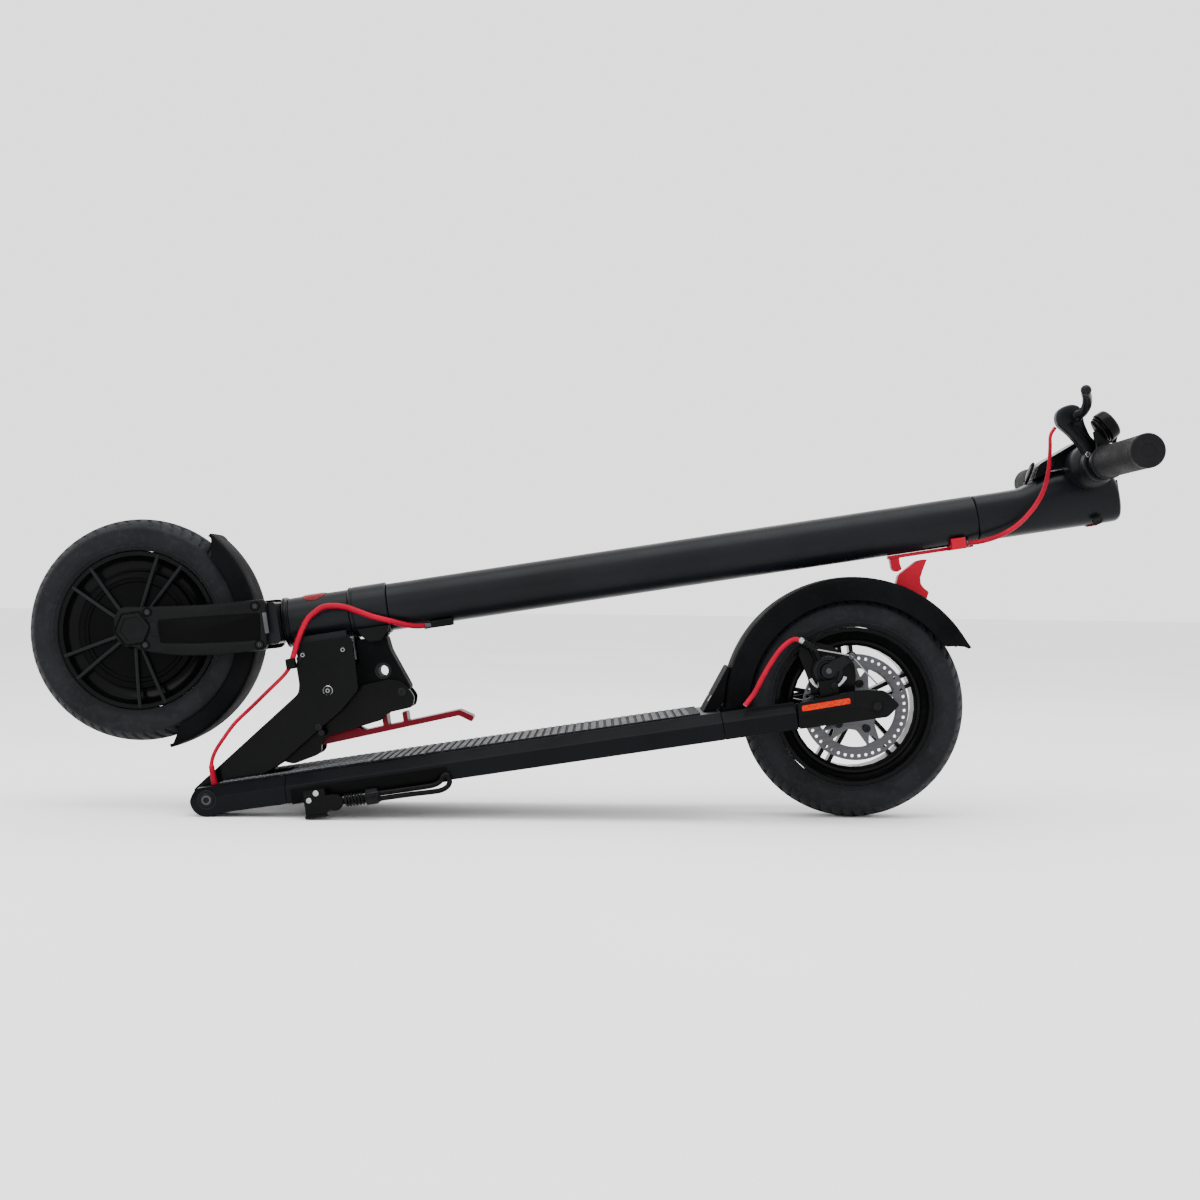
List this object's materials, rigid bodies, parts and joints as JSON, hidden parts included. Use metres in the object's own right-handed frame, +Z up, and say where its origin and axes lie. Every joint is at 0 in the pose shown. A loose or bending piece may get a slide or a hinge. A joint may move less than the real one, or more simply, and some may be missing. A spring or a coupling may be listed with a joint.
{
  "type": "electric kick scooter",
  "caption": "Folding electric kick scooter, shown folded, with hub motor, disc brake, kickstand and turning, folding stem.",
  "frame": {"origin": "middle of the bounding box at the level of the ground that the folded scooter stands on", "axes": "+X from the front wheel to the rear wheel along the folded scooter, +Z up, -Y the scooter's left side"},
  "size_m": [1.0604, 0.434, 0.4034],
  "materials": {
    "satin_paint": "satin blue-black powder coat",
    "gloss_black": "smooth black",
    "matte_black": "fine moulded texture",
    "tyre_rubber": "moulded rubber",
    "grip_rubber": "soft moulded rubber",
    "mat_rubber": "ribbed rubber",
    "red_paint": "satin red paint",
    "red_sheath": "red cable sheath",
    "red_lens": "red dome",
    "steel": "bright zinc",
    "disc_steel": "ground steel",
    "dark_steel": "dark cast metal",
    "orange_reflector": "orange retroreflector",
    "battery_wrap": "shrink wrap",
    "controller_case": "ribbed case"
  },
  "bodies": {
    "deck": {"deck_frame": "satin_paint", "deck_bottom_cover": "matte_black", "deck_mat": "mat_rubber", "hinge_pin": "dark_steel", "fender_brace": "gloss_black", "fender_hook": "red_paint", "kickstand_bracket": "gloss_black", "hinge_arm_left": "satin_paint", "hinge_arm_right": "satin_paint", "rear_arm_left": "satin_paint", "rear_arm_right": "satin_paint", "arm_cover_left": "matte_black", "arm_cover_right": "matte_black", "reflector_left": "orange_reflector", "reflector_right": "orange_reflector", "battery_pack": "battery_wrap", "controller_box": "controller_case", "rear_fender": "matte_black", "rear_axle": "steel", "brake_caliper": "dark_steel", "rear_brake_cable": "red_sheath", "fold_cable": "red_sheath"},
    "rear_wheel": {"rear_tyre": "tyre_rubber", "rear_rim": "gloss_black", "brake_disc": "disc_steel"},
    "brake_arm": {"caliper_arm": "dark_steel"},
    "kickstand": {"kickstand_leg": "gloss_black", "kickstand_spring": "dark_steel"},
    "front_frame": {"hinge_plate_left": "satin_paint", "hinge_plate_right": "satin_paint", "latch_bracket": "gloss_black", "latch_housing": "satin_paint", "latch_pin": "steel", "head_tube": "satin_paint", "headset_bearing": "dark_steel", "loop_cable": "red_sheath"},
    "release_lever": {"latch_lever": "red_paint"},
    "steering": {"fork": "satin_paint", "front_axle": "steel", "front_fender": "matte_black", "fork_cover_left": "matte_black", "fork_cover_right": "matte_black", "stem_sleeve": "satin_paint", "stem_tube": "satin_paint", "stem_hook": "red_paint", "stem_head": "satin_paint", "front_housing": "gloss_black", "handlebar": "satin_paint", "brake_perch": "gloss_black", "bell_body": "gloss_black", "throttle_housing": "gloss_black", "grip_left": "grip_rubber", "grip_right": "grip_rubber", "upper_brake_cable": "red_sheath"},
    "front_wheel": {"front_tyre": "tyre_rubber", "hub_motor": "gloss_black"},
    "brake_lever_body": {"brake_lever": "gloss_black"},
    "throttle_paddle": {"throttle_lever": "gloss_black"},
    "bell_striker": {"bell_lever": "gloss_black"},
    "power_button": {"mode_button": "red_lens"}
  },
  "joints": [
    {"name": "stem_fold", "type": "hinge", "parent": "deck", "child": "front_frame", "pos_m": [-0.34229, 0, 0.016], "axis": [0, -1, 0], "range_deg": [0, 73.5], "deforming": ["fold_cable"]},
    {"name": "steering_turn", "type": "hinge", "parent": "front_frame", "child": "steering", "pos_m": [-0.24719, 0, 0.18792], "axis": [0.987, 0, 0.1607], "range_deg": [-45, 45], "deforming": ["loop_cable"]},
    {"name": "front_wheel_spin", "type": "hinge", "parent": "steering", "child": "front_wheel", "pos_m": [-0.4222, 0, 0.17381], "axis": [0, 1, 0], "continuous": true},
    {"name": "rear_wheel_spin", "type": "hinge", "parent": "deck", "child": "rear_wheel", "pos_m": [0.27188, 0, 0.108], "axis": [0, 1, 0], "continuous": true},
    {"name": "latch_lever_pivot", "type": "hinge", "parent": "front_frame", "child": "release_lever", "pos_m": [-0.24182, 0, 0.07723], "axis": [0, 1, 0], "range_deg": [0, 7]},
    {"name": "kickstand_pivot", "type": "hinge", "parent": "deck", "child": "kickstand", "pos_m": [-0.21989, -0.0795, 0.01662], "axis": [0, 1, 0], "range_deg": [0, 95], "stiffness_Nm_per_rad": 0.3, "springref_deg": -34.38},
    {"name": "brake_lever_pivot", "type": "hinge", "parent": "steering", "child": "brake_lever_body", "pos_m": [0.46934, -0.079, 0.38567], "axis": [0.7881, 0, 0.6156], "range_deg": [0, 18], "stiffness_Nm_per_rad": 0.6, "springref_deg": -14.32},
    {"name": "caliper_arm_pivot", "type": "hinge", "parent": "deck", "child": "brake_arm", "pos_m": [0.24286, -0.048, 0.143], "axis": [0, -1, 0], "range_deg": [0, 16.2]},
    {"name": "throttle_pivot", "type": "hinge", "parent": "steering", "child": "throttle_paddle", "pos_m": [0.49368, 0.082, 0.34201], "axis": [0, 1, 0], "range_deg": [0, 30], "stiffness_Nm_per_rad": 0.12, "springref_deg": -22.92},
    {"name": "bell_lever_pivot", "type": "hinge", "parent": "steering", "child": "bell_striker", "pos_m": [0.49296, -0.085, 0.37128], "axis": [-0.7922, 0, -0.6103], "range_deg": [0, 15], "stiffness_Nm_per_rad": 0.03, "springref_deg": -17.19},
    {"name": "power_button_press", "type": "slide", "parent": "steering", "child": "power_button", "axis": [-0.1607, 0, 0.987], "range_m": [0, 0.0015], "stiffness_N_per_m": 300, "springref_m": -0.001}
  ],
  "couplings": [
    {"joint": "caliper_arm_pivot", "follows": "brake_lever_pivot", "ratio": 0.9}
  ]
}
